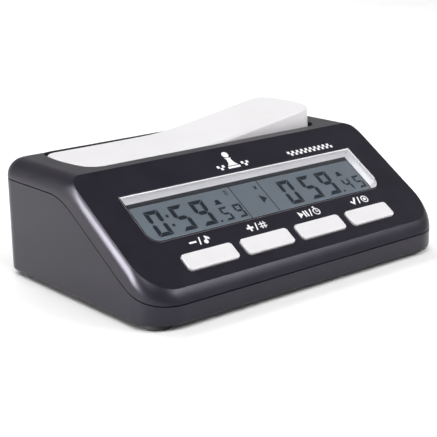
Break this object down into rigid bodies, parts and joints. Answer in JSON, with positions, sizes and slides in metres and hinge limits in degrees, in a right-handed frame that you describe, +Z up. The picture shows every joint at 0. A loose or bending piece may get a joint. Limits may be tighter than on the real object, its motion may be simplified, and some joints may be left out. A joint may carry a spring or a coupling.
{
  "type": "chess clock",
  "caption": "Wedge-shaped digital chess clock: white rocking lever across the top, wide display window and white push buttons on a sloping black panel.",
  "frame": {"origin": "centre of the case's outline at the level of the table", "axes": "+X along the case to the player's right as seen from the buttons, +Y towards the back, +Z up"},
  "size_m": [0.15, 0.099, 0.0555],
  "materials": {
    "case_plastic": "fine-textured satin black ABS",
    "key_plastic": "satin white ABS",
    "lens_acrylic": "clear acrylic",
    "frame_plastic": "satin silver",
    "mask_ink": "black printed film",
    "lcd_face": "reflective liquid-crystal grey-green",
    "inner_plastic": "black moulded",
    "zebra_rubber": "striped elastomer",
    "circuit_board": "green solder mask",
    "bright_steel": "plated steel",
    "capacitor_sleeve": "shrink sleeve",
    "washer_nylon": "natural nylon",
    "ribbon_pvc": "grey ribbon",
    "cell_wrap": "foil sleeve",
    "red_insulation": "PVC",
    "black_insulation": "PVC",
    "foot_rubber": "matt rubber"
  },
  "bodies": {
    "case": {"base_casing": "case_plastic", "top_cover": "case_plastic", "display_lens": "lens_acrylic", "window_frame": "frame_plastic", "lcd_mask": "mask_ink", "lcd_glass": "lcd_face", "lcd_holder": "inner_plastic", "zebra_strips": "zebra_rubber", "main_board": "circuit_board", "controller_chip": "inner_plastic", "crystal": "bright_steel", "capacitors": "capacitor_sleeve", "buzzer": "inner_plastic", "button_switches": "inner_plastic", "axle_bracket": "bright_steel", "rocker_axle": "bright_steel", "axle_washers": "washer_nylon", "toggle_board": "circuit_board", "toggle_switches": "inner_plastic", "toggle_ribbon": "ribbon_pvc", "front_cell": "cell_wrap", "rear_cell": "cell_wrap", "battery_springs": "bright_steel", "battery_contacts": "bright_steel", "red_wire": "red_insulation", "black_wire": "black_insulation", "casing_screws": "bright_steel", "board_screws": "bright_steel", "bracket_screws": "bright_steel", "toggle_screws": "bright_steel", "front_left_foot": "foot_rubber", "front_right_foot": "foot_rubber", "rear_left_foot": "foot_rubber", "rear_right_foot": "foot_rubber"},
    "rocker": {"rocker": "key_plastic"},
    "battery_door": {"battery_door": "case_plastic"},
    "left_toggle": {"left_toggle_plunger": "inner_plastic"},
    "right_toggle": {"right_toggle_plunger": "inner_plastic"},
    "minus_button": {"minus_button": "key_plastic", "minus_plunger": "inner_plastic"},
    "plus_button": {"plus_button": "key_plastic", "plus_plunger": "inner_plastic"},
    "play_button": {"play_button": "key_plastic", "play_plunger": "inner_plastic"},
    "confirm_button": {"confirm_button": "key_plastic", "confirm_plunger": "inner_plastic"}
  },
  "joints": [
    {"name": "rocker_swing", "type": "hinge", "parent": "case", "child": "rocker", "pos_m": [0, 0.027, 0.037], "axis": [0, 1, 0], "range_deg": [0, 9.2]},
    {"name": "left_toggle_move", "type": "slide", "parent": "case", "child": "left_toggle", "axis": [0, 0, 1], "range_m": [0, 0.0013]},
    {"name": "right_toggle_move", "type": "slide", "parent": "case", "child": "right_toggle", "axis": [0, 0, -1], "range_m": [0, 0.0013]},
    {"name": "minus_press", "type": "slide", "parent": "case", "child": "minus_button", "axis": [0, 0.5461, -0.8377], "range_m": [0, 0.0006], "stiffness_N_per_m": 1000, "springref_m": -0.0003},
    {"name": "plus_press", "type": "slide", "parent": "case", "child": "plus_button", "axis": [0, 0.5461, -0.8377], "range_m": [0, 0.0006], "stiffness_N_per_m": 1000, "springref_m": -0.0003},
    {"name": "play_press", "type": "slide", "parent": "case", "child": "play_button", "axis": [0, 0.5461, -0.8377], "range_m": [0, 0.0006], "stiffness_N_per_m": 1000, "springref_m": -0.0003},
    {"name": "confirm_press", "type": "slide", "parent": "case", "child": "confirm_button", "axis": [0, 0.5461, -0.8377], "range_m": [0, 0.0006], "stiffness_N_per_m": 1000, "springref_m": -0.0003},
    {"name": "door_slide", "type": "slide", "parent": "case", "child": "battery_door", "axis": [0, 1, 0], "range_m": [0, 0.036]}
  ],
  "couplings": [
    {"joint": "left_toggle_move", "follows": "rocker_swing", "m_per_rad": 0.008},
    {"joint": "right_toggle_move", "follows": "rocker_swing", "m_per_rad": 0.008}
  ]
}
